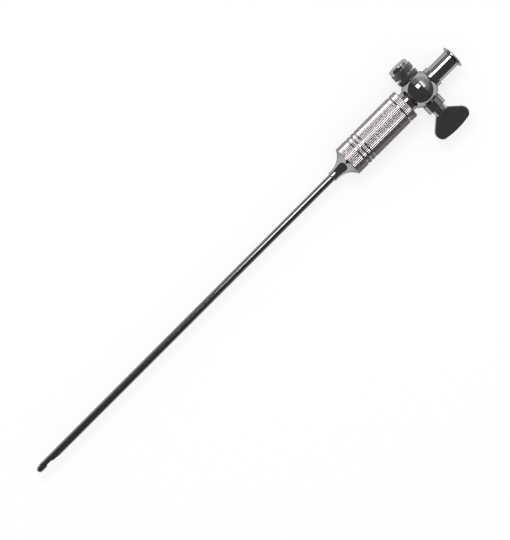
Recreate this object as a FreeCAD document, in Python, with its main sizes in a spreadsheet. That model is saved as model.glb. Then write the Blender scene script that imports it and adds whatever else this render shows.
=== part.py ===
import FreeCAD, Part
import math
import os
import re

import Sketcher

Vector = FreeCAD.Vector
doc = FreeCAD.newDocument("insufflation_needle")

# The frame: the origin is the centre of the hub's nose, +X runs back along the shaft to the luer socket,
# the stopcock turns about Y with its wing on -Y, and Z is normal to the flat wing.
# Driving dimensions, in millimetres or degrees
SIZES = {
    # running, soldered and screwed fits
    "run_gap": 0.05,
    "solder_gap": 0.03,
    "thread_gap": 0.05,
    "face_gap": 0.05,
    "taper_gap": 0.03,
    # outer cannula
    "working_length": 120.0,
    "tip_reach": 1.5,
    "cannula_outer": 2.3,
    "cannula_seat": 5.5,
    "seat_wall": 0.2,
    "bevel_length": 5.9,
    # inner stylet
    "stylet_outer": 1.9,
    "stylet_bore": 1.4,
    "tip_plug": 1.1,
    "hole_start": 2.75,
    "hole_length": 2.7,
    "hole_slope": 0.6,
    "hole_depth": 0.5,
    # trumpet hub
    "nose_radius": 1.54,
    "nose_edge": 0.1,
    "nose_length": 1.2,
    "hub_length": 6.5,
    "hub_rim": 0.15,
    "spigot_length": 2.5,
    "gland_depth": 1.5,
    "gland_radius": 2.0,
    "seal_lip": 0.25,
    "buffer_thickness": 0.8,
    "buffer_play": 0.3,
    # knurled barrel and its rear cap
    "barrel_radius": 4.85,
    "barrel_bore": 4.0,
    "barrel_length": 20.9,
    "knurl_teeth": 56,
    "knurl_depth": 0.2,
    "knurl_width": 0.42,
    "ring_start": 3.9,
    "ring_pitch": 1.47,
    "ring_count": 3,
    "ring_width": 0.45,
    "ring_depth": 0.27,
    "neck_width": 0.4,
    "neck_radius": 4.45,
    "cap_length": 2.3,
    "cap_lip": 0.8,
    "cap_lip_play": 0.15,
    "bush_wall": 0.35,
    # sliding stem, its ferrule and the spring
    "stem_radius": 3.15,
    "stem_bore": 2.2,
    "gas_bore": 1.1,
    "flange_thickness": 1.5,
    "flange_play": 0.12,
    "ferrule_spigot": 4.2,
    "ferrule_seat": 3.4,
    "gasket_thickness": 0.5,
    "stem_thread": 4.5,
    "travel": 4.0,
    "wire": 0.45,
    "spring_turns": 5.0,
    "seat_thickness": 0.6,
    # stopcock ball
    "neck_show": 1.3,
    "ball_front": 4.4,
    "ball_radius": 5.3,
    "flat_offset": 4.3,
    "ball_fillet_rise": 0.55,
    "stem_spigot": 1.4,
    "spigot_radius": 1.9,
    # luer lock connector
    "luer_base_length": 1.57,
    "luer_base_chamfer": 0.12,
    "luer_radius": 2.72,
    "luer_length": 9.6,
    "luer_mouth": 4.29,
    "luer_taper": 0.06,
    "luer_depth": 8.0,
    "luer_spigot": 1.1,
    "flange_radius": 3.6,
    "flange_width": 1.05,
    "flange_tip": 0.16,
    # stopcock plug
    "plug_radius": 2.4,
    "plug_taper": 0.1,
    "tang_width": 2.4,
    "tang_length": 2.8,
    "shank_radius": 1.9,
    "shank_flat": 1.45,
    "washer_thickness": 1.2,
    "stud_radius": 1.5,
    "stud_length": 3.0,
    "stud_room": 0.3,
    # knurled parts on the nut side
    "washer_radius": 3.46,
    "washer_chamfer": 0.28,
    "washer_teeth": 40,
    "washer_tooth": 0.16,
    "nut_neck_radius": 2.7,
    "nut_neck_length": 0.7,
    "nut_band_radius": 3.46,
    "nut_band_length": 1.95,
    "nut_teeth": 36,
    "nut_tooth": 0.18,
    "nut_top_radius": 3.2,
    "nut_length": 4.1,
    "nut_edge": 0.35,
    "disc_outer": 2.1,
    "disc_inner": 1.65,
    "disc_thickness": 0.25,
    "disc_cone": 0.2,
    "recess_depth": 0.6,
    # wing handle
    "collar_radius": 3.08,
    "collar_length": 3.05,
    "collar_edge": 0.3,
    "wing_neck_radius": 2.03,
    "wing_neck_length": 1.35,
    "runout_length": 1.9,
    "runout_radius": 0.6,
    "wing_thickness": 2.0,
    "wing_root": 8.9,
    "wing_root_half": 2.05,
    "flank_half": 5.1,
    "flank_end": 11.55,
    "lobe_half": 4.9,
    "lobe_end": 15.35,
    "lobe_radius": 2.25,
    "wing_end": 15.85,
    "wing_edge": 0.35,
}

sheet = doc.addObject("Spreadsheet::Sheet", "sizes")
for row, (name, number) in enumerate(SIZES.items(), start=1):
    sheet.set(f"A{row}", name)
    sheet.set(f"B{row}", str(number))
    sheet.setAlias(f"B{row}", name)
doc.recompute()


def formula(text):
    """The text as an expression, with each driving dimension read from the sheet."""
    return re.sub(r"[a-z]\w*", lambda word: f"sizes.{word[0]}" if word[0] in SIZES else word[0], str(text))


def measure(text):
    return float(sheet.evalExpression(formula(text)))


# Radii and places that several pieces share
CAP_END = "(hub_length + barrel_length + neck_width + cap_length)"
BALL_FACE = f"({CAP_END} + neck_show)"
COCK_CENTRE = f"({BALL_FACE} + ball_front)"
CANNULA_BORE = "(stylet_outer / 2 + run_gap)"
SEAT_RADIUS = "(cannula_outer / 2 + seat_wall)"
SOCKET_RADIUS = f"({SEAT_RADIUS} + solder_gap)"
STYLET_SOCKET = "(stylet_outer / 2 + solder_gap)"
SPIGOT_SOCKET = "(spigot_radius + solder_gap)"
BARREL_THREAD = "(barrel_bore - thread_gap)"
STEM_GUIDE = "(stem_radius + run_gap)"
BUSH_OUTER = "(stem_radius + run_gap + bush_wall)"
PLUG_SLOPE = "(plug_taper / 2)"
HUB_END = "(hub_length + spigot_length)"
FERRULE_FRONT = "(hub_length + spigot_length + buffer_thickness + face_gap)"
SPRING_FRONT = f"({FERRULE_FRONT} + flange_thickness)"
STEM_FRONT = f"({SPRING_FRONT} + gasket_thickness)"
SPRING_RADIUS = "((stem_radius + barrel_bore) / 2)"
# The stem's travel ends when the coils touch, so the spring's room is its solid length and the travel
SPRING_ROOM = "((spring_turns + 1) * wire + travel)"
SEAT_FRONT = f"({SPRING_FRONT} + {SPRING_ROOM} + 2 * face_gap)"
CAP_FRONT = f"({SEAT_FRONT} + seat_thickness + face_gap)"
CAP_SPIGOT = f"(hub_length + barrel_length - {CAP_FRONT})"
BALL_REAR = "sqrt(ball_radius ^ 2 - stem_radius ^ 2)"
NUT_FACE = "(flat_offset + face_gap + washer_thickness)"


# Ways to make a piece
def origin_feature(body, role):
    return next(item for item in body.Origin.OriginFeatures if item.Role == role)


def new_body(label, along=None, across=None):
    body = doc.addObject("PartDesign::Body", label)
    body.Label = label
    if along:
        body.setExpression("Placement.Base.x", formula(along))
    if across:
        body.setExpression("Placement.Base.y", formula(across))
    return body


def new_sketch(body, role, name, offset=None):
    sketch = body.newObject("Sketcher::SketchObject", f"{body.Name}_{name}")
    sketch.AttachmentSupport = (origin_feature(body, role), [""])
    sketch.MapMode = "FlatFace"
    if offset:
        sketch.setExpression("AttachmentOffset.Base.z", formula(offset))
    return sketch


def arc_between(start, end, radius, turn):
    """The short arc from start to end, and whether it is listed from its end; turn is 1 to bulge to the left."""
    chord = end - start
    rise = math.sqrt(max(radius ** 2 - (chord.Length / 2) ** 2, 0.0))
    left = Vector(-chord.y, chord.x, 0).normalize()
    centre = (start + end) * 0.5 - left * rise * turn
    ends = [math.atan2(point.y - centre.y, point.x - centre.x) for point in (start, end)]
    backwards = turn > 0
    if backwards:
        ends.reverse()
    return Part.ArcOfCircle(Part.Circle(centre, Vector(0, 0, 1), radius), *ends), backwards


def draw(sketch, corners):
    """Closed outline through (x, y) formulas; (x, y, radius, turn) is reached by an arc that bulges left or right."""
    spots = [Vector(measure(corner[0]), measure(corner[1]), 0) for corner in corners]
    edges = []
    first_ends = []
    for index, corner in enumerate(corners):
        start = spots[index - 1]
        if len(corner) > 2:
            edge, backwards = arc_between(start, spots[index], measure(corner[2]), corner[3])
        else:
            edge, backwards = Part.LineSegment(start, spots[index]), False
        edges.append(edge)
        first_ends.append(2 if backwards else 1)
    sketch.addGeometry(edges, False)
    for index, corner in enumerate(corners):
        following = (index + 1) % len(corners)
        sketch.addConstraint(Sketcher.Constraint(
            "Coincident", index, 3 - first_ends[index], following, first_ends[following]))
    for index, corner in enumerate(corners):
        where = (index, 3 - first_ends[index])
        for kind, axis, text in (("DistanceX", -2, corner[0]), ("DistanceY", -1, corner[1])):
            if str(text) == "0":
                sketch.addConstraint(Sketcher.Constraint("PointOnObject", *where, axis))
                continue
            held = sketch.addConstraint(Sketcher.Constraint(kind, -1, 1, *where, measure(text)))
            sketch.setExpression(f"Constraints[{held}]", formula(text))
        if len(corner) > 2:
            held = sketch.addConstraint(Sketcher.Constraint("Radius", index, measure(corner[2])))
            sketch.setExpression(f"Constraints[{held}]", formula(corner[2]))


def turned(body, corners, name="profile", axis="H_Axis", cut=False):
    """A lathe-turned form: the outline on the XY plane, revolved about X (H_Axis) or Y (V_Axis)."""
    sketch = new_sketch(body, "XY_Plane", name)
    draw(sketch, corners)
    kind = "PartDesign::Groove" if cut else "PartDesign::Revolution"
    feature = body.newObject(kind, f"{body.Name}_{name}_turned")
    feature.Profile = sketch
    feature.ReferenceAxis = (sketch, [axis])
    feature.Angle = 360
    return feature


def milled(body, role, corners, name, depth, offset=None, both_sides=False, reversed_way=False, cut=True):
    """A pad or pocket of the outline, normal to the plane with this role."""
    sketch = new_sketch(body, role, name, offset)
    draw(sketch, corners)
    feature = body.newObject("PartDesign::Pocket" if cut else "PartDesign::Pad", f"{body.Name}_{name}_milled")
    feature.Profile = sketch
    feature.SideType = "Symmetric" if both_sides else "One side"
    feature.Reversed = reversed_way
    feature.setExpression("Length", formula(depth))
    return feature


def checked_cut(body, feature):
    """A cut that misses its piece shows no error, so the volume must fall."""
    doc.recompute()
    if not feature.Shape.Volume < feature.BaseFeature.Shape.Volume:
        raise RuntimeError(f"{feature.Name} cuts nothing from {body.Label}")


def knurled(body, role, axis, radius, depth, width, teeth, length, offset=None, reversed_way=False):
    """Straight knurling: one V groove along the axis, repeated round it."""
    rim = f"({radius} + {depth} / 2)"
    flare = f"({width} * 0.75)"
    corners = [(f"-{flare}", rim), (0, f"{radius} - {depth}"), (flare, rim)]
    groove = milled(body, role, corners, "knurl", length, offset, reversed_way=reversed_way)
    checked_cut(body, groove)
    pattern = body.newObject("PartDesign::PolarPattern", f"{body.Name}_knurling")
    pattern.Originals = [groove]
    pattern.Axis = (origin_feature(body, axis), [""])
    pattern.Angle = 360
    pattern.setExpression("Occurrences", formula(teeth))
    body.Tip = pattern
    doc.recompute()


def edges_where(shape, test):
    return [f"Edge{number}" for number, edge in enumerate(shape.Edges, start=1) if test(edge)]


# Outer cannula: a thin stainless tube with its open end ground to a bevel and a collar brazed on at the hub
def cannula_tube():
    body = new_body("cannula_tube", along="tip_reach - working_length")
    outer = "cannula_outer / 2"
    bare = "(working_length - tip_reach)"
    length = f"({bare} + cannula_seat)"
    turned(body, [
        (0, CANNULA_BORE), (0, outer), (bare, outer), (bare, SEAT_RADIUS),
        (length, SEAT_RADIUS), (length, CANNULA_BORE),
    ])
    corners = [
        ("-bevel_length * 0.1", "cannula_outer * 0.6"),
        ("-bevel_length * 0.1", "-cannula_outer * 0.6"),
        ("bevel_length * 1.1", "-cannula_outer * 0.6"),
    ]
    checked_cut(body, milled(body, "XY_Plane", corners, "bevel", "cannula_outer * 2", both_sides=True))
    return body


# Trumpet hub: soldered on the cannula, flares out to the barrel and screws into its front
def cannula_hub():
    body = new_body("cannula_hub")
    flare_run = "(hub_length - hub_rim - nose_length)"
    flare_rise = "(barrel_radius - nose_radius)"
    flare_radius = f"({flare_run} ^ 2 + {flare_rise} ^ 2) / (2 * {flare_rise})"
    turned(body, [
        (0, SOCKET_RADIUS),
        (0, "nose_radius - nose_edge"),
        ("nose_edge", "nose_radius"),
        ("nose_length", "nose_radius"),
        ("hub_length - hub_rim", "barrel_radius", flare_radius, -1),
        ("hub_length", "barrel_radius"),
        ("hub_length", BARREL_THREAD),
        (HUB_END, BARREL_THREAD),
        (HUB_END, "gland_radius"),
        (f"{HUB_END} - gland_depth", "gland_radius"),
        (f"{HUB_END} - gland_depth", CANNULA_BORE),
        ("cannula_seat", CANNULA_BORE),
        ("cannula_seat", SOCKET_RADIUS),
    ])
    return body


# Sealing ring: keeps gas from leaking back between cannula and stylet
def stylet_seal():
    body = new_body("stylet_seal", along=f"{HUB_END} - gland_depth + face_gap")
    width = "(gland_depth - 2 * face_gap)"
    outer = "gland_radius - run_gap"
    turned(body, [
        (0, f"{CANNULA_BORE} + seal_lip"),
        (0, outer),
        (width, outer),
        (width, f"{CANNULA_BORE} + seal_lip"),
        (f"{width} / 2", CANNULA_BORE),
    ])
    return body


# Buffer: soft washer that the stem's ferrule comes to rest on when the spring has pushed it home
def buffer_washer():
    body = new_body("buffer_washer", along=HUB_END)
    inner = f"{CANNULA_BORE} + buffer_play"
    outer = "barrel_bore - buffer_play"
    turned(body, [(0, inner), (0, outer), ("buffer_thickness", outer), ("buffer_thickness", inner)])
    return body


# Barrel: the finger grip, straight-knurled over its whole length, with three ring grooves near the hub
def barrel_sleeve():
    body = new_body("barrel_sleeve", along="hub_length")
    turned(body, [
        (0, "barrel_bore"), (0, "barrel_radius"),
        ("barrel_length", "barrel_radius"), ("barrel_length", "barrel_bore"),
    ])
    doc.recompute()
    knurled(body, "YZ_Plane", "X_Axis", "barrel_radius", "knurl_depth", "knurl_width", "knurl_teeth",
            "barrel_length + 2", offset="-1", reversed_way=True)
    rings = turned(body, [
        ("ring_start - ring_width / 2", "barrel_radius * 1.1"),
        ("ring_start - ring_width / 2", "barrel_radius - ring_depth"),
        ("ring_start + ring_width / 2", "barrel_radius - ring_depth"),
        ("ring_start + ring_width / 2", "barrel_radius * 1.1"),
    ], name="ring", cut=True)
    checked_cut(body, rings)
    pattern = body.newObject("PartDesign::LinearPattern", "barrel_sleeve_rings")
    pattern.Originals = [rings]
    pattern.Direction = (origin_feature(body, "X_Axis"), [""])
    pattern.setExpression("Occurrences", formula("ring_count"))
    pattern.setExpression("Length", formula("ring_pitch * (ring_count - 1)"))
    body.Tip = pattern
    return body


# Rear cap: knurled ring on a threaded spigot; it closes the barrel, holds the spring in and guides the stem
def rear_cap():
    body = new_body("rear_cap", along=CAP_FRONT)
    rim = f"({CAP_SPIGOT} + neck_width)"
    end = f"({CAP_SPIGOT} + neck_width + cap_length)"
    bush_hole = f"({BUSH_OUTER} + solder_gap)"
    turned(body, [
        (0, bush_hole),
        (0, BARREL_THREAD),
        (CAP_SPIGOT, BARREL_THREAD),
        (CAP_SPIGOT, "neck_radius"),
        (rim, "neck_radius"),
        (rim, "barrel_radius"),
        (end, "barrel_radius"),
        (end, "stem_radius + cap_lip_play"),
        (f"{end} - cap_lip", "stem_radius + cap_lip_play"),
        (f"{end} - cap_lip", bush_hole),
    ])
    doc.recompute()
    knurled(body, "YZ_Plane", "X_Axis", "barrel_radius", "knurl_depth", "knurl_width", "knurl_teeth",
            "cap_length + 1", offset=rim, reversed_way=True)
    return body


# Guide bush: plain bearing pressed into the cap, in which the stem slides and turns
def guide_bush():
    body = new_body("guide_bush", along=CAP_FRONT)
    length = f"({CAP_SPIGOT} + neck_width + cap_length - cap_lip)"
    turned(body, [(0, STEM_GUIDE), (0, BUSH_OUTER), (length, BUSH_OUTER), (length, STEM_GUIDE)])
    return body


# Spring seat: washer between the spring and the cap, free to turn with the stem
def spring_seat():
    body = new_body("spring_seat", along=SEAT_FRONT)
    inner = "stem_radius + flange_play"
    outer = "barrel_bore - flange_play"
    turned(body, [(0, inner), (0, outer), ("seat_thickness", outer), ("seat_thickness", inner)])
    return body


# Return spring: wire wound round the stem, pushing the blunt stylet forward; its section has six sides
def return_spring():
    body = new_body("return_spring", along=f"{SPRING_FRONT} + wire / 2 + face_gap")
    sketch = new_sketch(body, "XY_Plane", "wire")
    draw(sketch, [
        (f"wire / 2 * cos({turn})", f"{SPRING_RADIUS} + wire / 2 * sin({turn})")
        for turn in range(30, 390, 60)
    ])
    coil = body.newObject("PartDesign::AdditiveHelix", "return_spring_coil")
    coil.Profile = sketch
    coil.ReferenceAxis = (sketch, ["H_Axis"])
    coil.Mode = "height-turns-angle"
    coil.setExpression("Height", formula(f"{SPRING_ROOM} - wire"))
    coil.setExpression("Turns", formula("spring_turns"))
    return body


# Stylet tube: hollow, with a side hole milled through its wall on the bevel's open side
def stylet_tube():
    body = new_body("stylet_tube", along="stylet_outer / 2 - working_length")
    length = f"(working_length - stylet_outer / 2 + {FERRULE_FRONT} + ferrule_seat)"
    outer = "stylet_outer / 2"
    inner = "stylet_bore / 2"
    turned(body, [(0, inner), (0, outer), (length, outer), (length, inner)])
    start = "(hole_start - stylet_outer / 2)"
    floor = "(hole_depth - stylet_outer / 2)"
    below = "-stylet_outer * 0.6"
    corners = [
        (f"{start} - hole_slope * 0.2", below),
        (f"{start} + hole_slope", floor),
        (f"{start} + hole_length - hole_slope / 2", floor),
        (f"{start} + hole_length + hole_slope * 0.1", below),
    ]
    checked_cut(body, milled(body, "XY_Plane", corners, "side_hole", "stylet_outer * 2", both_sides=True))
    return body


# Blunt tip: a polished dome with a plug that is welded into the stylet tube
def stylet_tip():
    body = new_body("stylet_tip", along="-working_length")
    dome = "stylet_outer / 2"
    plug = "stylet_bore / 2 - solder_gap"
    turned(body, [
        (0, 0),
        (dome, dome, dome, 1),
        (dome, plug),
        (f"{dome} + tip_plug", plug),
        (f"{dome} + tip_plug", 0),
    ])
    return body


# Ferrule: holds the stylet tube, screws into the stem and carries the spring on its flange
def stylet_ferrule():
    body = new_body("stylet_ferrule", along=FERRULE_FRONT)
    end = "(flange_thickness + ferrule_spigot)"
    thread = "stem_bore - thread_gap"
    turned(body, [
        (0, STYLET_SOCKET),
        (0, "barrel_bore - flange_play"),
        ("flange_thickness", "barrel_bore - flange_play"),
        ("flange_thickness", thread),
        (end, thread),
        (end, "stylet_bore / 2"),
        ("ferrule_seat", "stylet_bore / 2"),
        ("ferrule_seat", STYLET_SOCKET),
    ])
    return body


# Gasket: makes the screwed joint between ferrule and stem gas-tight
def ferrule_gasket():
    body = new_body("ferrule_gasket", along=SPRING_FRONT)
    turned(body, [
        (0, "stem_bore"), (0, "stem_radius"),
        ("gasket_thickness", "stem_radius"), ("gasket_thickness", "stem_bore"),
    ])
    return body


# Sliding stem: the polished tube that joins the stylet to the stopcock and slides through the cap
def slide_stem():
    body = new_body("slide_stem", along=STEM_FRONT)
    end = f"({BALL_FACE} - {STEM_FRONT})"
    turned(body, [
        (0, "stem_bore"),
        (0, "stem_radius"),
        (end, "stem_radius"),
        (end, "spigot_radius"),
        (f"{end} + stem_spigot", "spigot_radius"),
        (f"{end} + stem_spigot", "gas_bore"),
        ("stem_thread", "gas_bore"),
        ("stem_thread", "stem_bore"),
    ])
    return body


# Stopcock body: a polished ball with two flats, a taper bore for the plug and sockets for stem and connector
def stopcock_body():
    body = new_body("stopcock_body", along=COCK_CENTRE)
    front = "-ball_front"
    rise = "ball_fillet_rise"
    boss_end = "sqrt(ball_radius ^ 2 - (stem_radius + ball_fillet_rise) ^ 2)"
    rear = BALL_REAR
    turned(body, [
        (front, "gas_bore"),
        (front, "stem_radius"),
        (f"-{boss_end}", f"stem_radius + {rise}"),
        (0, "ball_radius", "ball_radius", 1),
        (rear, "stem_radius", "ball_radius", 1),
        (rear, "gas_bore"),
    ])
    turned(body, [
        (front, 0), (front, SPIGOT_SOCKET),
        (f"{front} + stem_spigot", SPIGOT_SOCKET), (f"{front} + stem_spigot", 0),
    ], name="stem_socket", cut=True)
    turned(body, [
        (rear, 0), (rear, SPIGOT_SOCKET),
        (f"{rear} - luer_spigot", SPIGOT_SOCKET), (f"{rear} - luer_spigot", 0),
    ], name="luer_socket", cut=True)
    reach = "ball_radius"
    for side, name in (("", "nut_flat"), ("-", "wing_flat")):
        feature = milled(body, "XY_Plane", [
            (f"-{reach}", f"{side}flat_offset"), (f"-{reach}", f"{side}ball_radius * 1.2"),
            (reach, f"{side}ball_radius * 1.2"), (reach, f"{side}flat_offset"),
        ], name, "ball_radius * 2.2", both_sides=True)
        checked_cut(body, feature)
    bore = turned(body, [
        (0, "-ball_radius"),
        (f"plug_radius + taper_gap + ball_radius * {PLUG_SLOPE}", "-ball_radius"),
        (f"plug_radius + taper_gap - ball_radius * {PLUG_SLOPE}", "ball_radius"),
        (0, "ball_radius"),
    ], name="taper_bore", axis="V_Axis", cut=True)
    checked_cut(body, bore)
    return body


# Luer lock connector: round collar and tube with a 6 % taper socket and a pointed locking flange
def luer_connector():
    body = new_body("luer_connector", along=f"{COCK_CENTRE} + {BALL_REAR}")
    end = "luer_length"
    mouth = "luer_mouth / 2"
    foot = "(luer_mouth - luer_taper * luer_depth) / 2"
    ridge = "(luer_length - flange_width / 2)"
    turned(body, [
        ("-luer_spigot", "gas_bore"),
        ("-luer_spigot", "spigot_radius"),
        (0, "spigot_radius"),
        (0, "stem_radius - luer_base_chamfer"),
        ("luer_base_chamfer", "stem_radius"),
        ("luer_base_length - luer_base_chamfer", "stem_radius"),
        ("luer_base_length", "stem_radius - luer_base_chamfer"),
        ("luer_base_length", "luer_radius"),
        ("luer_length - flange_width", "luer_radius"),
        (f"{ridge} - flange_tip", "flange_radius"),
        (f"{ridge} + flange_tip", "flange_radius"),
        (end, "luer_radius"),
        (end, mouth),
        ("luer_length - luer_depth", foot),
        ("luer_length - luer_depth", "gas_bore"),
    ])
    return body


# Stopcock plug: ground taper with the gas bore across it, a tang for the wing, a flatted shank and a stud
def cock_plug():
    body = new_body("cock_plug", along=COCK_CENTRE)
    large = "(flat_offset + face_gap)"
    shank = "(flat_offset + taper_gap)"
    stud_end = f"({NUT_FACE} + stud_length)"
    turned(body, [
        (0, f"-{large}"),
        (f"plug_radius + {large} * {PLUG_SLOPE}", f"-{large}"),
        (f"plug_radius - {shank} * {PLUG_SLOPE}", shank),
        ("shank_radius", shank),
        ("shank_radius", NUT_FACE),
        ("stud_radius", NUT_FACE),
        ("stud_radius", f"{stud_end} - stud_radius * 0.15"),
        ("stud_radius * 0.85", stud_end),
        (0, stud_end),
    ], axis="V_Axis")
    tang = "tang_width / 2"
    milled(body, "XZ_Plane", [(f"-{tang}", f"-{tang}"), (f"-{tang}", tang), (tang, tang), (tang, f"-{tang}")],
           "tang", "tang_length", offset=large, cut=False)
    for side, name in (("", "upper_flat"), ("-", "lower_flat")):
        flat = milled(body, "XZ_Plane", [
            ("-shank_radius * 1.2", f"{side}shank_flat"), ("-shank_radius * 1.2", f"{side}shank_radius * 1.2"),
            ("shank_radius * 1.2", f"{side}shank_radius * 1.2"), ("shank_radius * 1.2", f"{side}shank_flat"),
        ], name, "washer_thickness + face_gap - taper_gap", offset=f"-{shank}")
        checked_cut(body, flat)
    hole = turned(body, [
        ("-plug_radius * 1.2", 0), ("-plug_radius * 1.2", "gas_bore"),
        ("plug_radius * 1.2", "gas_bore"), ("plug_radius * 1.2", 0),
    ], name="cross_bore", cut=True)
    checked_cut(body, hole)
    return body


# Wing handle: round collar and neck that run out into a flat fan-shaped wing
def wing_handle():
    body = new_body("wing_handle", along=COCK_CENTRE)
    rim_run = "(wing_end - lobe_end)"
    rim_radius = f"(lobe_half ^ 2 + {rim_run} ^ 2) / (2 * {rim_run})"
    fan = milled(body, "XY_Plane", [
        ("wing_root_half", "-wing_root"),
        ("flank_half", "-flank_end"),
        ("lobe_half", "-lobe_end", "lobe_radius", 1),
        (0, "-wing_end", rim_radius, 1),
        ("-lobe_half", "-lobe_end", rim_radius, 1),
        ("-flank_half", "-flank_end", "lobe_radius", 1),
        ("-wing_root_half", "-wing_root"),
    ], "fan", "wing_thickness", both_sides=True, cut=False)
    doc.recompute()
    rounding = body.newObject("PartDesign::Fillet", "wing_handle_rounding")
    rim = edges_where(fan.Shape, lambda edge: edge.BoundBox.ZLength < 1e-6 and edge.BoundBox.YLength > 1e-6)
    rounding.Base = (fan, rim)
    rounding.setExpression("Radius", formula("wing_edge"))

    top = "(flat_offset + face_gap)"
    base = f"({top} + collar_length)"
    neck = f"({base} + wing_neck_length)"
    turned(body, [
        (0, f"-{top}"),
        ("collar_radius - collar_edge", f"-{top}"),
        ("collar_radius", f"-({top} + collar_edge)"),
        ("collar_radius", f"-({base} - collar_edge)"),
        ("collar_radius - collar_edge", f"-{base}"),
        ("wing_neck_radius", f"-{base}"),
        ("wing_neck_radius", f"-{neck}"),
        ("runout_radius", f"-({neck} + runout_length)"),
        (0, f"-({neck} + runout_length)"),
    ], axis="V_Axis")
    socket = "tang_width / 2 + solder_gap"
    blind = milled(body, "XZ_Plane", [
        (f"-({socket})", f"-({socket})"), (f"-({socket})", socket), (socket, socket), (socket, f"-({socket})"),
    ], "socket", "tang_length + solder_gap", offset=top, reversed_way=True)
    checked_cut(body, blind)
    return body


# Serrated washer: keyed on the plug's flats, turns with it on the ball's flat
def serrated_washer():
    body = new_body("serrated_washer", along=COCK_CENTRE, across="flat_offset + face_gap")
    turned(body, [
        (0, 0),
        ("washer_radius - washer_chamfer", 0),
        ("washer_radius", "washer_chamfer"),
        ("washer_radius", "washer_thickness"),
        (0, "washer_thickness"),
    ], axis="V_Axis")
    doc.recompute()
    knurled(body, "XZ_Plane", "Y_Axis", "washer_radius", "washer_tooth", "washer_tooth * 2.4", "washer_teeth",
            "washer_thickness + 2", offset="-washer_thickness - 1", reversed_way=True)
    reach = "(shank_radius + solder_gap)"
    flat = "(shank_flat + solder_gap)"
    half_width = f"sqrt({reach} ^ 2 - {flat} ^ 2)"
    hole = milled(body, "XZ_Plane", [
        (f"-{half_width}", f"-{flat}"),
        (f"-{half_width}", flat, reach, 1),
        (half_width, flat),
        (half_width, f"-{flat}", reach, 1),
    ], "keyed_hole", "washer_thickness")
    checked_cut(body, hole)
    return body


# Spring washer: a coned disc in the nut's recess that keeps the plug drawn into its taper
def spring_washer():
    body = new_body("spring_washer", along=COCK_CENTRE, across=NUT_FACE)
    turned(body, [
        ("disc_outer", 0),
        ("disc_outer", "disc_thickness"),
        ("disc_inner", "disc_thickness + disc_cone"),
        ("disc_inner", "disc_cone"),
    ], axis="V_Axis")
    return body


# Cap nut: finger nut with a knurled band, closed at its rounded top
def cap_nut():
    body = new_body("cap_nut", along=COCK_CENTRE, across=NUT_FACE)
    band = "(nut_neck_length + nut_band_length)"
    hole_end = "(stud_length + stud_room)"
    turned(body, [
        (0, hole_end),
        ("stud_radius + thread_gap", hole_end),
        ("stud_radius + thread_gap", "recess_depth"),
        ("disc_outer + thread_gap", "recess_depth"),
        ("disc_outer + thread_gap", 0),
        ("nut_neck_radius", 0),
        ("nut_neck_radius", "nut_neck_length"),
        ("nut_band_radius", "nut_neck_length"),
        ("nut_band_radius", band),
        ("nut_top_radius", band),
        ("nut_top_radius", "nut_length - nut_edge"),
        ("nut_top_radius - nut_edge", "nut_length"),
        (0, "nut_length"),
    ], axis="V_Axis")
    doc.recompute()
    knurled(body, "XZ_Plane", "Y_Axis", "nut_band_radius", "nut_tooth", "nut_tooth * 2.4", "nut_teeth",
            "nut_band_length", offset=f"-{band}", reversed_way=True)
    return body


SUB_PARTS = [
    cannula_tube, cannula_hub, stylet_seal, buffer_washer, barrel_sleeve, rear_cap, guide_bush,
    spring_seat, return_spring,
    stylet_tip, stylet_tube, stylet_ferrule, ferrule_gasket, slide_stem, stopcock_body, luer_connector,
    cock_plug, wing_handle, serrated_washer, spring_washer, cap_nut,
]
pieces = [make() for make in SUB_PARTS]
doc.recompute()

for item in doc.Objects:
    if "Invalid" in item.State or "Error" in item.State:
        raise RuntimeError(f"{item.Name} failed: {item.State}")
for piece in pieces:
    if piece.Shape.isNull() or not piece.Shape.isValid() or len(piece.Shape.Solids) != 1:
        raise RuntimeError(f"{piece.Label} is not one valid solid")

os.makedirs("parts", exist_ok=True)
for piece in pieces:
    piece.Shape.exportStep(f"parts/{piece.Label}.step")
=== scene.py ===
import math

import bmesh
import bpy
from mathutils import Matrix, Vector


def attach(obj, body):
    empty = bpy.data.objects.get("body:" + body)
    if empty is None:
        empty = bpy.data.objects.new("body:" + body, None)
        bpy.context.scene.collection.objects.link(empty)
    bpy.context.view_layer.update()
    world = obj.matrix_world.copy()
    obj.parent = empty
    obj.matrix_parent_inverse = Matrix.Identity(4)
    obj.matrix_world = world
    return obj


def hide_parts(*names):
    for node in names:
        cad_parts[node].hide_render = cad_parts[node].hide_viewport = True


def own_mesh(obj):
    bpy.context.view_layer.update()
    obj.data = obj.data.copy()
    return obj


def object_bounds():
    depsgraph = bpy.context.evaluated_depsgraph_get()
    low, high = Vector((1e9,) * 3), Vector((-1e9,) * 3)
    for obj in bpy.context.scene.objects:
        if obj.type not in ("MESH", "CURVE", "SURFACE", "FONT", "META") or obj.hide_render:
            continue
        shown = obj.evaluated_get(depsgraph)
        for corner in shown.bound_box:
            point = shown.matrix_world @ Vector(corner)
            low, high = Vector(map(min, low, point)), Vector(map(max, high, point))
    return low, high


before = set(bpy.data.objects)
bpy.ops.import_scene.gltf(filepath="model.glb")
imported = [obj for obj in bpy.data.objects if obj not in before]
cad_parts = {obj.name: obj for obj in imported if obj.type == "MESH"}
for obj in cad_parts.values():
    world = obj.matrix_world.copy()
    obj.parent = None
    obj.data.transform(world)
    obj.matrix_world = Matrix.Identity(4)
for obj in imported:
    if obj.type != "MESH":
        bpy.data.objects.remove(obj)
cad_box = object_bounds()
scene = bpy.context.scene
MM = 0.001


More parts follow.
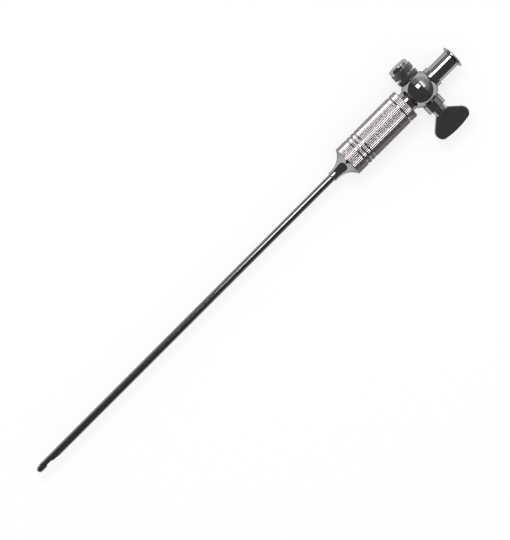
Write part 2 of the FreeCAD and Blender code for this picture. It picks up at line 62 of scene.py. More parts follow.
# Camera: about a metre above the needle and seven degrees off the vertical on the nut's side,
# turned so that the needle runs from the lower left to the upper right of the frame.
distance = 0.970
tilt = math.radians(7.0)
turn = math.radians(45.0)
look_at = Vector((-34.6, -3.19, 0.42)) * MM
back = Vector((0.0, math.sin(tilt), math.cos(tilt)))
wing_way = Vector((0.0, -math.cos(tilt), math.sin(tilt)))
along = Vector((1.0, 0.0, 0.0))
camera_right = math.cos(turn) * along + math.sin(turn) * wing_way
camera_up = math.sin(turn) * along - math.cos(turn) * wing_way
camera_axes = Matrix((camera_right, camera_up, back)).transposed()
camera_data = bpy.data.cameras.new("camera")
camera_data.sensor_fit = "VERTICAL"
camera_data.sensor_height = 36.0
camera_data.lens = 224.2
camera_data.clip_start, camera_data.clip_end = 0.05, 20.0
camera = bpy.data.objects.new("camera", camera_data)
camera.matrix_world = Matrix.Translation(look_at + back * distance) @ camera_axes.to_4x4()
scene.collection.objects.link(camera)
scene.camera = camera


# Outer cannula: drawn stainless tube, its far end ground to a long bevel that opens on the wing's side.
# The drawing die leaves fine lengthwise lines in the steel, and handling leaves faint smears.
class Field:
    """A value that varies over a surface; arithmetic on it adds Math nodes."""

    def __init__(self, tree, socket):
        self.tree = tree
        self.socket = socket

    def step(self, operation, first, second):
        node = self.tree.nodes.new("ShaderNodeMath")
        node.operation = operation
        for index, value in enumerate((first, second)):
            if isinstance(value, Field):
                self.tree.links.new(value.socket, node.inputs[index])
            else:
                node.inputs[index].default_value = value
        return Field(self.tree, node.outputs[0])

    def __add__(self, other):
        return self.step("ADD", self, other)

    def __radd__(self, other):
        return self.step("ADD", other, self)

    def __rsub__(self, other):
        return self.step("SUBTRACT", other, self)

    def __mul__(self, other):
        return self.step("MULTIPLY", self, other)

    def __rmul__(self, other):
        return self.step("MULTIPLY", other, self)


class Finish:
    """A material under construction, with one Principled shader."""

    def __init__(self, name):
        self.material = bpy.data.materials.new(name)
        self.material.use_nodes = True
        self.tree = self.material.node_tree
        self.tree.nodes.clear()
        self.output = self.tree.nodes.new("ShaderNodeOutputMaterial")
        self.shader = self.tree.nodes.new("ShaderNodeBsdfPrincipled")
        self.tree.links.new(self.shader.outputs[0], self.output.inputs["Surface"])
        self.place = self.node("ShaderNodeTexCoord", output="Object")

    def node(self, kind, settings=None, values=None, output=0):
        """Adds a node of this kind with its settings, then its values or links, and gives one output."""
        node = self.tree.nodes.new(kind)
        for name, value in (settings or {}).items():
            setattr(node, name, value)
        for name, value in (values or {}).items():
            self.feed(node.inputs[name], value)
        return Field(self.tree, node.outputs[output])

    def feed(self, socket, value):
        if isinstance(value, Field):
            self.tree.links.new(value.socket, socket)
        else:
            socket.default_value = value

    def set(self, **values):
        for name, value in values.items():
            self.feed(self.shader.inputs[name.replace("_", " ")], value)

    def grain(self, scale, detail, roughness=0.6, stretch=(1.0, 1.0, 1.0)):
        """Noise of this scale per metre, drawn out along the axes where stretch is small."""
        drawn = self.node("ShaderNodeVectorMath", {"operation": "MULTIPLY"}, {0: self.place, 1: stretch})
        return self.node("ShaderNodeTexNoise", None, {
            "Vector": drawn, "Scale": scale, "Detail": detail, "Roughness": roughness,
        })

    def between(self, field, low, high, start=0.0, end=1.0):
        """The field's values from low to high, spread over start to end."""
        return self.node("ShaderNodeMapRange", None, {
            "Value": field, "From Min": low, "From Max": high, "To Min": start, "To Max": end,
        })

    def mixed(self, factor, first, second):
        """The first colour where the factor is 0, the second where it is 1."""
        colours = [(*tone, 1.0) if isinstance(tone, tuple) else tone for tone in (first, second)]
        return self.node("ShaderNodeMix", {"data_type": "RGBA"}, {
            "Factor": factor, 6: colours[0], 7: colours[1],
        }, output=2)


def steel(name, light, dark, lines, polish, roughest, edge, waviness=0.2, scratches=0.1, streaks=0.4,
          knurl=None):
    """Stainless steel with tool lines along a stretch, smears and hair scratches.

    A knurl's radii in metres say where the painted shade darkening its valleys starts and ends, and where a
    ring groove's smooth floor lies.
    """
    finish = Finish(name)
    smear = finish.between(finish.grain(110.0, 4.0), 0.38, 0.66)
    tool_lines = finish.between(finish.grain(1.0, 2.0, 0.5, stretch=lines), 0.3, 0.7)
    cloud = finish.grain(900.0, 2.0)
    hair = finish.grain(420.0, 1.0, 0.4, stretch=(0.35, 1.0, 1.0))
    hair = finish.node("ShaderNodeMath", {"operation": "COMPARE"}, {0: hair, 1: 0.5, 2: 0.003})
    colour = finish.mixed(smear * (1.0 - streaks) + tool_lines * streaks, light, dark)
    wear = smear * 0.55 + tool_lines * 0.3 + cloud * 0.15
    rough = polish + (roughest - polish) * wear + hair * scratches
    if knurl:
        valley_top, valley_foot, groove = knurl
        from_axis = finish.node("ShaderNodeVectorMath", {"operation": "MULTIPLY"},
                                {0: finish.place, 1: (0.0, 1.0, 1.0)})
        radius = finish.node("ShaderNodeVectorMath", {"operation": "LENGTH"}, {0: from_axis}, output="Value")
        # Painted shade: the knurl's valleys turn darker towards their feet, standing in for the shade that
        # falls in them.
        valley_shade = finish.between(radius, valley_top, valley_foot) * 0.5
        colour = finish.mixed(valley_shade, colour, (0.10, 0.092, 0.096))
        turned_floor = finish.between(radius, groove + 0.00003, groove)
        colour = finish.mixed(turned_floor, colour, (0.38, 0.372, 0.378))
        rough = rough * (1 - turned_floor) + turned_floor * 0.06
    finish.set(Base_Color=colour, Roughness=rough, Metallic=1.0)
    height = tool_lines * 0.5 + cloud * 0.5
    bump = finish.node("ShaderNodeBump", None, {"Height": height, "Strength": waviness, "Distance": 0.000004})
    finish.set(Normal=bump)
    finish.shader.inputs["Specular Tint"].default_value = (edge, edge * 0.985, edge, 1.0)
    return finish.material


drawn_steel = steel("drawn_steel", (0.310, 0.296, 0.287), (0.250, 0.238, 0.231), (25.0, 5200.0, 5200.0),
                    0.10, 0.18, edge=0.28)


def arc(centre, radius, start, end, steps):
    """Points round a centre from one angle to another, in degrees."""
    angles = [math.radians(start + (end - start) * step / steps) for step in range(steps + 1)]
    return [(centre[0] + radius * math.cos(a), centre[1] + radius * math.sin(a)) for a in angles]


def eased(corners, steps=3):
    """A closed outline whose corners (x, y, radius) are rounded, with a point set just off each rounding."""
    longest, just_off = 0.45, 1.2
    outline = []
    for index, corner in enumerate(corners):
        here = Vector(corner[:2])
        radius = corner[2] if len(corner) > 2 else 0.0
        if not radius:
            outline.append(tuple(here))
            continue
        before = Vector(corners[index - 1][:2]) - here
        after = Vector(corners[(index + 1) % len(corners)][:2]) - here
        opening = before.angle(after)
        reach = min(radius / math.tan(opening / 2), before.length * longest, after.length * longest)
        first = here + before.normalized() * reach
        last = here + after.normalized() * reach
        outline.append(tuple(here + before.normalized() * reach * just_off))
        for step in range(steps + 1):
            t = step / steps
            outline.append(tuple(first * (1 - t) ** 2 + here * 2 * t * (1 - t) + last * t ** 2))
        outline.append(tuple(here + after.normalized() * reach * just_off))
    return outline


def band(first, second, count, closed=True):
    """Faces between two rings of vertices, given by each ring's first vertex number."""
    return [(first + step, first + (step + 1) % count, second + (step + 1) % count, second + step)
            for step in range(count if closed else count - 1)]


def smoothed(mesh, sharp, weld=None):
    """Gives a mesh outward normals and smooth shading, with creases above an angle in degrees."""
    form = bmesh.new()
    form.from_mesh(mesh)
    if weld:
        bmesh.ops.remove_doubles(form, verts=form.verts, dist=weld)
    bmesh.ops.recalc_face_normals(form, faces=form.faces)
    form.to_mesh(mesh)
    form.free()
    mesh.polygons.foreach_set("use_smooth", [True] * len(mesh.polygons))
    mesh.set_sharp_from_angle(angle=math.radians(sharp))


def mesh_piece(name, vertices, faces, material, sharp=50.0, place=None):
    """A closed mesh piece, its vertices given in mm."""
    mesh = bpy.data.meshes.new(name)
    mesh.from_pydata([Vector(vertex) * MM for vertex in vertices], [], faces)
    if place is not None:
        mesh.transform(place)
    smoothed(mesh, sharp, weld=0.5e-6)
    mesh.materials.append(material)
    piece = bpy.data.objects.new(name, mesh)
    scene.collection.objects.link(piece)
    return piece


def lathe(name, outline, material, segments=144, centre=None, shift=None, sharp=50.0):
    """Turned piece: a closed outline (x, r) in mm revolved about X, or about the Y line through centre."""
    vertices = []
    for x, r in outline:
        for segment in range(segments):
            angle = 2 * math.pi * segment / segments
            spot = [x, r * math.cos(angle), r * math.sin(angle)]
            vertices.append(shift(spot) if shift else spot)
    faces = []
    for row in range(len(outline)):
        following = (row + 1) % len(outline)
        faces += band(row * segments, following * segments, segments)
    return mesh_piece(name, vertices, faces, material, sharp, across(centre))


def across(centre):
    """Turns a piece made about X so that its axis runs along Y through this x, in mm."""
    if centre is None:
        return None
    return Matrix.Translation(Vector((centre, 0.0, 0.0)) * MM) @ Matrix.Rotation(math.radians(90.0), 4, "Z")


def place_piece(piece, body, slot, *nodes):
    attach(piece, body)
    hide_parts(*nodes)


tube_front = -118.5
bevel = 5.9
tube_radius = 1.15
tube_bore = 1.0
tube_edge = 0.02
braze_radius, braze_end = 1.35, 5.5


def ground(spot):
    """Moves the tube's front ring back to the slanting plane of the grind."""
    slant = bevel * (tube_radius - spot[1]) / (2 * tube_radius)
    start = tube_front + slant
    run = (spot[0] - tube_front) / (0.0 - tube_front)
    return [start + (0.0 - start) * run, spot[1], spot[2]] if spot[0] < 0 else spot


stations = [tube_front - tube_front * share ** 2 for share in (0.03, 0.08, 0.15, 0.25, 0.4, 0.6, 0.8)]
tube_outline = [
    (tube_front, tube_bore + tube_edge), (tube_front, tube_radius - tube_edge),
    (tube_front + tube_edge, tube_radius), *[(x, tube_radius) for x in stations], (0.0, tube_radius),
    (0.0, braze_radius), (braze_end, braze_radius), (braze_end, tube_bore),
    *[(x, tube_bore) for x in reversed(stations)], (tube_front + tube_edge, tube_bore),
]
cannula = lathe("cannula", tube_outline, drawn_steel, segments=96, shift=ground, sharp=40.0)
place_piece(cannula, "handle", "tube_steel", "cannula_tube")


# Blunt stylet: a thinner tube inside the cannula, with a side hole for the gas milled through its wall.
# A polished dome is welded into its end and stands a millimetre and a half out of the cannula.
stylet_radius = 0.95
stylet_bore = 0.70
tip = -120.0
weld_face, stylet_end = tip + stylet_radius, 13.25
stylet_rings = (-118.6, -117.4, -115.6, -114.2, -110.0, -60.0)
stylet = lathe("stylet", [
    (weld_face, stylet_bore), (weld_face, stylet_radius), *[(x, stylet_radius) for x in stylet_rings],
    (stylet_end, stylet_radius), (stylet_end, stylet_bore),
    *[(x, stylet_bore) for x in reversed(stylet_rings)],
], drawn_steel, segments=96)


def milled(piece, outline, low, high):
    """Cuts a prism, its outline given on the XY plane in mm and running from low to high along Z."""
    form = bmesh.new()
    for z in (low, high):
        ring = [form.verts.new(Vector((x, y, z)) * MM) for x, y in outline]
        form.faces.new(ring)
    form.verts.ensure_lookup_table()
    for face in band(0, len(outline), len(outline)):
        form.faces.new([form.verts[index] for index in face])
    bmesh.ops.recalc_face_normals(form, faces=form.faces)
    mesh = bpy.data.meshes.new("cutter")
    form.to_mesh(mesh)
    form.free()
    cutter = bpy.data.objects.new("cutter", mesh)
    scene.collection.objects.link(cutter)
    carve(piece, cutter, "DIFFERENCE")


def carve(piece, tool, operation):
    """Applies a boolean with the tool piece and removes the tool."""
    modifier = piece.modifiers.new("cut", "BOOLEAN")
    modifier.operation = operation
    modifier.solver = "EXACT"
    modifier.object = tool
    settle(piece)
    bpy.data.objects.remove(tool)


def settle(piece):
    """Turns the piece's live modifiers into plain mesh, with creases above 40 degrees."""
    scene.view_layers[0].update()
    seen = piece.evaluated_get(bpy.context.evaluated_depsgraph_get())
    mesh = bpy.data.meshes.new_from_object(seen)
    piece.modifiers.clear()
    piece.data = mesh
    mesh.set_sharp_from_angle(angle=math.radians(40.0))


hole_start = tip + 2.75
hole_end = hole_start + 2.7
hole_mouth, hole_floor = -1.14, -0.45
milled(stylet, [
    (hole_start - 0.12, hole_mouth), (hole_start + 0.5, -0.54), (hole_start + 0.6, -0.47),
    (hole_start + 0.72, hole_floor), (hole_end - 0.42, hole_floor), (hole_end - 0.32, -0.47),
    (hole_end - 0.24, -0.56), (hole_end + 0.06, hole_mouth),
], -2.0, 2.0)
place_piece(stylet, "stylet", "tube_steel", "stylet_tube")


def turned_steel(name, lines, light=(0.415, 0.407, 0.414), dark=(0.375, 0.366, 0.374), edge=0.42):
    """Steel as the lathe and the polishing wheel leave it."""
    return steel(name, light, dark, lines, 0.06, 0.12, edge, waviness=0.12, scratches=0.04)


bright_along = turned_steel("bright_along", (2600.0, 140.0, 140.0))
bright_across = turned_steel("bright_across", (140.0, 2600.0, 140.0), edge=0.34)

dome_plug, dome_end = 0.67, tip + 2.05
tip_dome = lathe("tip_dome", [
    *arc((weld_face, 0.0), stylet_radius, 180.0, 90.0, 16),
    (weld_face, dome_plug), (dome_end, dome_plug), (dome_end, 0.0),
], bright_along, segments=64)
place_piece(tip_dome, "stylet", "polished_steel", "stylet_tip")


# Trumpet hub: turned and polished, soldered on the cannula. Its flare meets the barrel at full width,
# and the solder shows as a thin bright ring round the cannula.
nose_radius = 1.54
flare_start, flare_end, hub_end = 1.2, 6.35, 6.5
barrel_radius = 4.85
rise = barrel_radius - nose_radius
flare_radius = ((flare_end - flare_start) ** 2 + rise ** 2) / (2 * rise)
flare_turn = math.degrees(math.asin((flare_end - flare_start) / flare_radius))
hub = lathe("trumpet_hub", [
    (5.4, 1.36), (0.02, 1.36), (-0.12, tube_radius + 0.01), (-0.05, 1.30), (0.0, 1.42),
    (0.03, 1.46), (0.08, 1.51), (0.16, nose_radius), (0.22, nose_radius),
    *arc((flare_start, nose_radius + flare_radius), flare_radius, -90.0, flare_turn - 90.0, 28),
    (flare_end + 0.05, barrel_radius), (hub_end - 0.03, barrel_radius), (hub_end, barrel_radius - 0.03),
    (hub_end, 3.95), (9.0, 3.95), (9.0, 2.0), (7.5, 2.0), (7.5, 1.0), (5.4, 1.0),
], bright_along)
place_piece(hub, "handle", "polished_steel", "cannula_hub")


# Barrel: the finger grip, a steel sleeve straight-knurled all round, with three ring grooves near the hub.
# The knurling was rolled in, which leaves broad rounded ridges between narrow valleys.
def tooth_sector(name, profile, radius, depth, teeth, material, ridge):
    """One tooth's share of a knurled sleeve: a closed profile (x, r) in mm, its rim waved by the roller."""
    facets = 12
    pitch = 2 * math.pi / teeth
    angles = [pitch * step / facets for step in range(facets + 1)]
    vertices = []
    for x, r in profile:
        for angle in angles:
            cut = min(r, radius - depth * (0.5 - 0.5 * math.cos(angle * teeth)) ** ridge)
            vertices.append(Vector((x, cut * math.cos(angle), cut * math.sin(angle))) * MM)
    count = len(angles)
    faces = []
    for row in range(len(profile)):
        faces += band(row * count, (row + 1) % len(profile) * count, count, closed=False)
    mesh = bpy.data.meshes.new(name)
    mesh.from_pydata(vertices, [], faces)
    mesh.materials.append(material)
    piece = bpy.data.objects.new(name, mesh)
    scene.collection.objects.link(piece)
    return piece


def knurling_tree():
    """Geometry Nodes: repeats the tooth round an axis and welds the sleeve together."""
    tree = bpy.data.node_groups.new("knurling", "GeometryNodeTree")
    for name, kind in (("Tooth", "Geometry"), ("Teeth", "Int"), ("Axis", "Vector"), ("Weld", "Float"),
                       ("Steel", "Material")):
        tree.interface.new_socket(name, in_out="INPUT", socket_type=f"NodeSocket{kind}")
    tree.interface.new_socket("Sleeve", in_out="OUTPUT", socket_type="NodeSocketGeometry")
    nodes, links = tree.nodes, tree.links
    inputs = nodes.new("NodeGroupInput")
    output = nodes.new("NodeGroupOutput")
    points = nodes.new("GeometryNodePoints")
    links.new(inputs.outputs["Teeth"], points.inputs["Count"])
    index = nodes.new("GeometryNodeInputIndex")
    step = nodes.new("ShaderNodeMath")
    step.operation = "DIVIDE"
    step.inputs[0].default_value = 2 * math.pi
    links.new(inputs.outputs["Teeth"], step.inputs[1])
    angle = nodes.new("ShaderNodeMath")
    angle.operation = "MULTIPLY"
    links.new(index.outputs[0], angle.inputs[0])
    links.new(step.outputs[0], angle.inputs[1])
    turning = nodes.new("ShaderNodeVectorMath")
    turning.operation = "SCALE"
    links.new(inputs.outputs["Axis"], turning.inputs[0])
    links.new(angle.outputs[0], turning.inputs["Scale"])
    repeat = nodes.new("GeometryNodeInstanceOnPoints")
    links.new(points.outputs[0], repeat.inputs["Points"])
    links.new(inputs.outputs["Tooth"], repeat.inputs["Instance"])
    links.new(turning.outputs[0], repeat.inputs["Rotation"])
    weld = nodes.new("GeometryNodeMergeByDistance")
    real = nodes.new("GeometryNodeRealizeInstances")
    paint = nodes.new("GeometryNodeSetMaterial")
    links.new(repeat.outputs[0], real.inputs[0])
    links.new(real.outputs[0], weld.inputs["Geometry"])
    links.new(inputs.outputs["Weld"], weld.inputs["Distance"])
    links.new(weld.outputs[0], paint.inputs["Geometry"])
    links.new(inputs.outputs["Steel"], paint.inputs["Material"])
    links.new(paint.outputs[0], output.inputs[0])
    return tree


knurling = knurling_tree()


def knurled(name, profile, radius, depth, teeth, material, ridge, centre=None):
    """A knurled sleeve, made plain mesh and put in its place."""
    piece = tooth_sector(name, profile, radius, depth, teeth, material, ridge)
    modifier = piece.modifiers.new("knurling", "NODES")
    modifier.node_group = knurling
    wanted = {"Teeth": teeth, "Axis": (1.0, 0.0, 0.0), "Weld": 2e-6, "Steel": material}
    for item in knurling.interface.items_tree:
        if item.item_type == "SOCKET" and item.in_out == "INPUT" and item.name in wanted:
            modifier[item.identifier] = wanted[item.name]
    settle(piece)
    if centre is not None:
        piece.data.transform(across(centre))
    smoothed(piece.data, sharp=50.0)
    return piece


# Its knurl radii place the painted shade in the valleys and the smooth floors of the ring grooves.
grip_steel = steel("grip_steel", (0.600, 0.556, 0.580), (0.440, 0.398, 0.422), (40.0, 2600.0, 2600.0),
                   0.10, 0.17, edge=0.3, waviness=0.05, scratches=0.04, streaks=0.9,
                   knurl=(0.004768, 0.004738, 0.00464))

barrel_front, barrel_rear, barrel_bore = 6.5, 27.4, 4.0
ring_floor = barrel_radius - 0.27
rings = []
for number in range(3):
    middle = barrel_front + 3.9 + 1.47 * number
    rings += [
        (middle - 0.225, barrel_radius, 0.05), (middle - 0.20, ring_floor, 0.05),
        (middle + 0.20, ring_floor, 0.05), (middle + 0.225, barrel_radius, 0.05),
    ]
barrel_profile = eased([
    (barrel_front, barrel_bore), (barrel_front, barrel_radius, 0.06), *rings,
    (barrel_rear, barrel_radius, 0.06), (barrel_rear, barrel_bore),
])
barrel = knurled("knurled_barrel", barrel_profile, barrel_radius, 0.125, 56, grip_steel, ridge=2.0)
place_piece(barrel, "handle", "knurled_steel", "barrel_sleeve")


# Rear cap: a knurled ring screwed into the barrel, with a narrow plain neck between the two.
# Its knurling has the barrel's pitch, and its lip leaves a fine gap round the sliding stem.
cap_front, neck_rear, cap_rear = 18.8, 27.8, 30.1
cap_profile = eased([
    (cap_front, 3.58), (cap_front, 3.95), (barrel_rear, 3.95), (barrel_rear, 4.45), (neck_rear, 4.45, 0.04),
    (neck_rear, barrel_radius, 0.15), (cap_rear, barrel_radius, 0.28), (cap_rear, 3.3, 0.06),
    (cap_rear - 0.8, 3.3), (cap_rear - 0.8, 3.58),
])
cap = knurled("knurled_cap", cap_profile, barrel_radius, 0.125, 56, grip_steel, ridge=2.0)
place_piece(cap, "handle", "knurled_steel", "rear_cap")


# Sliding stem: the bright tube that carries the stopcock and disappears into the cap.
# Years of sliding have given it faint lengthwise scuffs.
stem_radius = 3.15
stem_front, ball_face = 11.85, 31.4
stem_thread, gas_bore = 2.2, 1.1
spigot_radius, spigot_length = 1.9, 1.4
thread_end = 16.35
stem = lathe("slide_stem_bright", [
    (stem_front, stem_thread), (stem_front, stem_radius), (20.0, stem_radius), (29.0, stem_radius),
    (ball_face, stem_radius), (ball_face, spigot_radius), (ball_face + spigot_length, spigot_radius),
    (ball_face + spigot_length, gas_bore), (thread_end, gas_bore), (thread_end, stem_thread),
], turned_steel("slid_steel", (60.0, 1500.0, 1500.0)))
place_piece(stem, "stylet", "polished_steel", "slide_stem")


# Stopcock body: a ball turned from solid and polished to a mirror, drilled along for the gas,
# reamed across to a taper for the plug, and faced flat where the washer and the wing sit.
ball_centre = 35.8
ball_radius = 5.3
flat = 4.3
fillet_end = 3.9
fillet_radius = stem_radius + 0.004
rear = math.sqrt(ball_radius ** 2 - stem_radius ** 2)
front = ball_face - ball_centre
join = math.degrees(math.asin(fillet_end / ball_radius))
ball_start = Vector((-ball_radius * math.cos(math.radians(join)), fillet_end))
fillet_foot, fillet_corner = Vector((front - 0.15, fillet_radius)), Vector((front, fillet_radius))
blend = [tuple(fillet_foot * (1 - t) ** 2 + fillet_corner * 2 * t * (1 - t) + ball_start * t ** 2)
         for t in [step / 10 for step in range(10)]]
ball = lathe("stopcock_ball", [
    (front, gas_bore), (front, stem_radius + 0.001), *blend,
    *arc((0.0, 0.0), ball_radius, 180.0 - join, math.degrees(math.asin(stem_radius / ball_radius)), 48),
    (rear, gas_bore),
], bright_along, segments=192)
ball.data.transform(Matrix.Translation(Vector((ball_centre, 0.0, 0.0)) * MM))
past_ball = 6.0
for side in (1, -1):
    milled(ball, [
        (ball_centre - past_ball, side * flat), (ball_centre + past_ball, side * flat),
        (ball_centre + past_ball, side * (past_ball + 1)), (ball_centre - past_ball, side * (past_ball + 1)),
    ], -past_ball, past_ball)
taper, plug_middle, plug_reach = 0.05, 2.43, 5.5
plug_hole = lathe("plug_hole", [
    (-plug_reach, 0.0), (-plug_reach, plug_middle + plug_reach * taper),
    (plug_reach, plug_middle - plug_reach * taper), (plug_reach, 0.0),
], bright_along, segments=128, centre=ball_centre)
carve(ball, plug_hole, "DIFFERENCE")
place_piece(ball, "stylet", "polished_steel", "stopcock_body")


# Luer lock connector: a turned collar and tube behind the ball, with a pointed flange that a syringe's
# or gas line's lock nut grips, and a six per cent taper bored in its end.
luer_front = ball_centre + rear
luer_length, taper_depth = 9.6, 8.0
mouth, foot = 2.145, 1.905
luer_tube, flange = 2.72, 3.6
luer = lathe("luer_lock_end", [(luer_front + x, r) for x, r in eased([
    (-1.1, gas_bore), (-1.1, spigot_radius), (0.0, spigot_radius), (0.0, stem_radius, 0.12),
    (1.57, stem_radius, 0.12), (1.57, luer_tube, 0.05), (8.55, luer_tube, 0.06), (8.915, flange, 0.10),
    (9.235, flange, 0.10), (luer_length, luer_tube, 0.08), (luer_length, mouth, 0.08),
    (luer_length - taper_depth, foot), (luer_length - taper_depth, gas_bore),
])], bright_along)
place_piece(luer, "stylet", "polished_steel", "luer_connector")


# Wing handle: a fan-shaped plate with rounded edges that turns the gas on and off, brazed to a turned
# collar and neck that sit on the plug's square end.
wing_sides, wing_middle = [(2.05, -8.9), (5.1, -11.55)], (0.0, -12.5)
lobe_radius, lobe_end, wing_end = 2.25, (4.9, -15.35), -15.85
plate_half = 1.0
plate_edge = 0.22


def bulge(first, last, radius, steps):
    """Points of the arc that bulges away from the wing's middle, between two points."""
    first, last = Vector(first), Vector(last)
    chord = last - first
    normal = Vector((-chord.y, chord.x)).normalized()
    if normal.dot((first + last) / 2 - Vector(wing_middle)) < 0:
        normal = -normal
    centre = (first + last) / 2 - normal * math.sqrt(radius ** 2 - (chord.length / 2) ** 2)
    start, end = first - centre, last - centre
    sweep = start.angle_signed(end)
    points = []
    for step in range(1, steps + 1):
        angle = -sweep * step / steps
        points.append(tuple(centre + Matrix.Rotation(angle, 2) @ start))
    return points


def prism(spots, width):
    """A prism whose face is the loop of spots, in mm, drawn out by the width towards -X."""
    count = len(spots)
    far = [(x - width, y, z) for x, y, z in spots]
    faces = [tuple(range(count)), tuple(range(count, 2 * count)), *band(0, count, count)]
    return mesh_piece("wing_cutter", spots + far, faces, bright_across)


rim_run = lobe_end[1] - wing_end
rim_radius = (lobe_end[0] ** 2 + rim_run ** 2) / (2 * rim_run)
half = wing_sides + bulge(wing_sides[-1], lobe_end, lobe_radius, 14)
half += bulge(half[-1], (0.0, wing_end), rim_radius, 12)
rim = half + [(-x, y) for x, y in reversed(half[:-1])]


def inset(points, distance):
    """The outline moved inwards by a distance, mitred at its corners."""
    moved = []
    for index, point in enumerate(points):
        here = Vector(point)
        before = (here - Vector(points[index - 1])).normalized()
        after = (Vector(points[(index + 1) % len(points)]) - here).normalized()
        inward = Vector((before.y, -before.x)) + Vector((after.y, -after.x))
        inward.normalize()
        lean = max(0.4, inward.dot(Vector((after.y, -after.x))))
        moved.append(here + inward * distance / lean)
    return moved


edge_steps = 6
layers = []
for step in range(edge_steps + 1):
    angle = math.radians(90.0 * step / edge_steps)
    layers.append((plate_edge * (1 - math.cos(angle)), plate_half - plate_edge * (1 - math.sin(angle))))
layers = [(run, -height) for run, height in reversed(layers)] + layers
vertices = []
for run, height in layers:
    vertices += [(ball_centre + spot.x, spot.y, height) for spot in inset(rim, run)]
count = len(rim)
faces = [tuple(range(count)), tuple(range(count * (len(layers) - 1), count * len(layers)))]
for layer in range(len(layers) - 1):
    faces += band(layer * count, (layer + 1) * count, count)
wing = mesh_piece("wing_handle_bright", vertices, faces, bright_across, sharp=40.0)
collar_top, collar_base, collar_radius = -4.35, -7.4, 3.08
neck_radius, neck_end = 2.03, -9.75
chamfer = 0.3
collar = lathe("wing_collar", eased([
    (collar_top, 0.0), (collar_top, collar_radius - chamfer, 0.05),
    (collar_top - chamfer, collar_radius, 0.1), (collar_base, collar_radius, 0.35),
    (collar_base, neck_radius, 0.12), (neck_end, neck_radius), (neck_end, 0.0),
], steps=5), bright_across, centre=ball_centre)
ramp_radius, ramp_foot = 1.6, neck_end - 0.4
ramp = [(ramp_foot + ramp_radius * math.sin(math.radians(angle)),
         plate_half + ramp_radius * (1 - math.cos(math.radians(angle)))) for angle in range(0, 76, 5)]
past_neck = 3.0
for side in (1, -1):
    ramp_cut = [(neck_end - 1.0, side * past_neck), (neck_end - 1.0, side * plate_half),
                *[(y, side * z) for y, z in ramp], (ramp[-1][0], side * past_neck)]
    carve(collar, prism([(ball_centre + past_neck, y, z) for y, z in ramp_cut], 2 * past_neck), "DIFFERENCE")
carve(wing, collar, "UNION")
place_piece(wing, "cock", "polished_steel", "wing_handle")


# Serrated washer: keyed on the plug, it turns with the wing and rubs on the ball's flat.
# Its rim is coarsely toothed, and the side next to the ball is chamfered.
washer_profile = eased([
    (4.35, 1.95), (4.35, 3.18, 0.04), (4.63, 3.46, 0.04), (5.55, 3.46, 0.05), (5.55, 1.95),
])
washer = knurled("serrated_ring", washer_profile, 3.46, 0.2, 40, bright_across, centre=ball_centre, ridge=2.0)
place_piece(washer, "cock", "knurled_steel", "serrated_washer")


# Cap nut: draws the plug into its taper. A plain neck, a knurled band for the fingers and a polished
# top with a rounded edge.
nut_face = 5.55
nut_steel = turned_steel("nut_steel", (140.0, 2600.0, 140.0), (0.470, 0.455, 0.469), (0.425, 0.411, 0.426),
                         edge=0.5)
nut = knurled("cap_nut_knurled", [(nut_face + x, r) for x, r in eased([
    (3.3, 0.0), (3.3, 1.55), (0.6, 1.55), (0.6, 2.15), (0.0, 2.15), (0.0, 2.7, 0.06), (0.7, 2.7, 0.05),
    (0.7, 3.46, 0.12), (2.65, 3.46, 0.12), (2.65, 3.2, 0.05), (4.1, 3.2, 0.5), (4.1, 0.0),
], steps=5)], 3.46, 0.22, 36, nut_steel, centre=ball_centre, ridge=2.2)
place_piece(nut, "cock", "knurled_steel", "cap_nut")


# Hidden pieces: the spring's seat, the ferrule, the plug, the cone washer, the seals and the bush keep
# their solid shapes and get the finish of what they are made of.
def dull(name, colour, shade, rough, metal=0.0):
    """A plain matt or satin finish with a fine mottle."""
    finish = Finish(name)
    mottle = finish.between(finish.grain(1800.0, 4.0), 0.35, 0.7)
    finish.set(Base_Color=finish.mixed(mottle, colour, shade), Metallic=metal)
    finish.set(Roughness=rough + mottle * 0.12)
    bump = finish.node("ShaderNodeBump", None, {"Height": mottle, "Strength": 0.3, "Distance": 0.00001})
    finish.set(Normal=bump)
    return finish.material


spring_wire = dull("spring_wire", (0.50, 0.49, 0.48), (0.38, 0.37, 0.37), 0.26, 1.0)
seal_rubber = dull("seal_rubber", (0.020, 0.020, 0.022), (0.035, 0.034, 0.034), 0.62)
bearing_plastic = dull("bearing_plastic", (0.80, 0.79, 0.75), (0.72, 0.70, 0.66), 0.42)
hidden = {
    "spring_washer": spring_wire, "spring_seat": bearing_plastic,
    "stylet_ferrule": bright_along, "cock_plug": bright_across,
    "stylet_seal": seal_rubber, "buffer_washer": seal_rubber, "ferrule_gasket": seal_rubber,
    "guide_bush": bearing_plastic,
}
for node, material in hidden.items():
    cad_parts[node].data.materials.clear()
    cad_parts[node].data.materials.append(material)


# Return spring: round wire wound five times round the stem, inside the barrel.
# The real spring shortens towards its seat as the stylet slides back, until its coils all but touch; this one
# is built at rest.
spring_front, spring_rear, spring_travel = 11.4, 18.1, 4.0
spring_length = spring_rear - spring_front
wire_radius, coil_radius, turns = 0.225, 3.575, 5
turn_steps, wire_sides = 48, 12
rows = turns * turn_steps
wire_angles = [2 * math.pi * side / wire_sides for side in range(wire_sides)]
wire_ring = [(wire_radius * math.sin(a), coil_radius + wire_radius * math.cos(a)) for a in wire_angles]
vertices = []
for row in range(rows + 1):
    angle = 2 * math.pi * row / turn_steps
    x = spring_front + wire_radius + (spring_length - 2 * wire_radius) * row / rows
    vertices += [(x + run, r * math.cos(angle), r * math.sin(angle)) for run, r in wire_ring]
faces = [tuple(range(wire_sides)), tuple(range(rows * wire_sides, (rows + 1) * wire_sides))]
for row in range(rows):
    faces += band(row * wire_sides, (row + 1) * wire_sides, wire_sides)
spring = mesh_piece("coil_spring", vertices, faces, spring_wire)
place_piece(spring, "spring_group", "spring_steel", "return_spring")
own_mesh(spring)


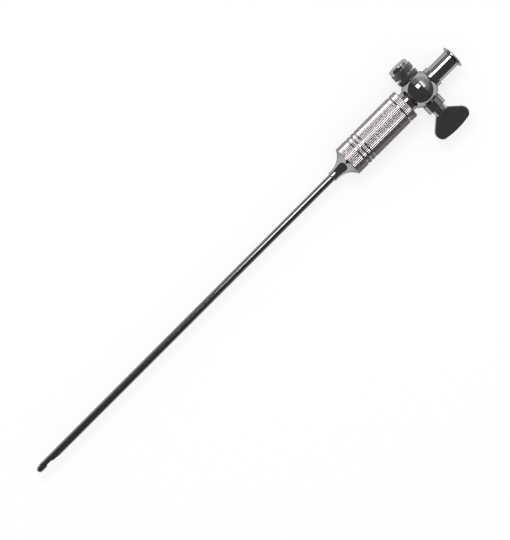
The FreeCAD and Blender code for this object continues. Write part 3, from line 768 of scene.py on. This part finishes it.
# Studio: white table, white surroundings and one softbox over the nut's side.
# A dim room that only reflections see stands round the table, with a bright window at the luer end.
table_mesh = bpy.data.meshes.new("table")
reach = 4.0
table_top = cad_box[0][2] - 0.00002
corners = ((-reach, -reach), (reach, -reach), (reach, reach), (-reach, reach))
table_mesh.from_pydata([(x, y, table_top) for x, y in corners], [], [(0, 1, 2, 3)])
paper = Finish("table_paper")
fibre = paper.grain(700.0, 3.0)
paper.set(Base_Color=paper.mixed(fibre, (0.94, 0.94, 0.94), (0.96, 0.96, 0.96)), Roughness=0.9)
paper.shader.inputs["Specular IOR Level"].default_value = 0.0
white_rays = ("Is Camera Ray", "Is Glossy Ray", "Is Transmission Ray")
seen = sum(paper.node("ShaderNodeLightPath", output=ray) for ray in white_rays)
white = paper.node("ShaderNodeEmission", None, {"Color": (1.0, 1.0, 1.0, 1.0), "Strength": 1.0})
covered = paper.node("ShaderNodeMixShader", None, {
    "Fac": seen * 0.75, 1: Field(paper.tree, paper.shader.outputs[0]), 2: white,
})
paper.feed(paper.output.inputs["Surface"], covered)
table_mesh.materials.append(paper.material)
table = bpy.data.objects.new("table", table_mesh)
scene.collection.objects.link(table)

world = bpy.data.worlds.new("white_room")
world.use_nodes = True
world_tree = world.node_tree
background = world_tree.nodes["Background"]
background.inputs["Color"].default_value = (1.0, 1.0, 1.0, 1.0)
world_rays = [Field(world_tree, world_tree.nodes.new("ShaderNodeLightPath").outputs[ray])
              for ray in white_rays]
room_light = 0.84
world_tree.links.new((room_light + sum(world_rays) * (1 - room_light)).socket, background.inputs["Strength"])
scene.world = world

softbox_data = bpy.data.lights.new("softbox", "AREA")
softbox_data.shape = "RECTANGLE"
softbox_data.size, softbox_data.size_y = 0.23, 0.232
softbox_data.energy = 1.2
softbox = bpy.data.objects.new("softbox", softbox_data)
softbox_spot = Vector((0.080, 0.30, 0.52))
aim = Vector((0.0, 0.30, 0.52)).to_track_quat("Z", "Y").to_matrix().to_4x4()
softbox.matrix_world = Matrix.Translation(softbox_spot) @ aim
softbox.visible_camera = False
scene.collection.objects.link(softbox)

tent_data = bpy.data.meshes.new("tent")
tent_form = bmesh.new()
bmesh.ops.create_uvsphere(tent_form, u_segments=96, v_segments=48, radius=2.2)
below_table = [vertex for vertex in tent_form.verts if vertex.co.z < -0.01]
bmesh.ops.delete(tent_form, geom=below_table, context="VERTS")
tent_form.to_mesh(tent_data)
tent_form.free()
room = Finish("dim_room")
far = room.node("ShaderNodeVectorMath", {"operation": "NORMALIZE"}, {0: room.place})
x_part, y_part, z_part = (room.node("ShaderNodeSeparateXYZ", None, {"Vector": far}, output=axis)
                          for axis in "XYZ")
per_radian = math.degrees(1.0)
across_angle = room.node("ShaderNodeMath", {"operation": "ARCTAN2"}, {0: y_part, 1: z_part}) * per_radian
along_angle = room.node("ShaderNodeMath", {"operation": "ARCSINE"}, {0: x_part}) * per_radian
nut_wall = room.between(across_angle, 46.0, 52.0) * room.between(along_angle, -8.0, 0.0)
end_wall = room.between(along_angle, 24.5, 27.5)
window = room.between(across_angle, -7.0, 0.0) * room.between(across_angle, 52.0, 46.0)
window = window * room.between(along_angle, 50.0, 36.0)
lit_part = room.between(across_angle, -52.0, 0.0, 0.04, 0.38)
glow = 0.088 + nut_wall * (0.22 + end_wall * 0.3) + (1 - nut_wall) * end_wall * (lit_part + window * 1.6)
room.tree.nodes.remove(room.shader)
room.feed(room.output.inputs["Surface"], room.node("ShaderNodeEmission", None, {"Strength": glow}))
tent_data.materials.append(room.material)
tent = bpy.data.objects.new("tent", tent_data)
scene.collection.objects.link(tent)
tent.visible_camera = False
tent.visible_diffuse = False
tent.visible_shadow = False
tent.visible_transmission = False

scene.view_settings.view_transform = "Standard"
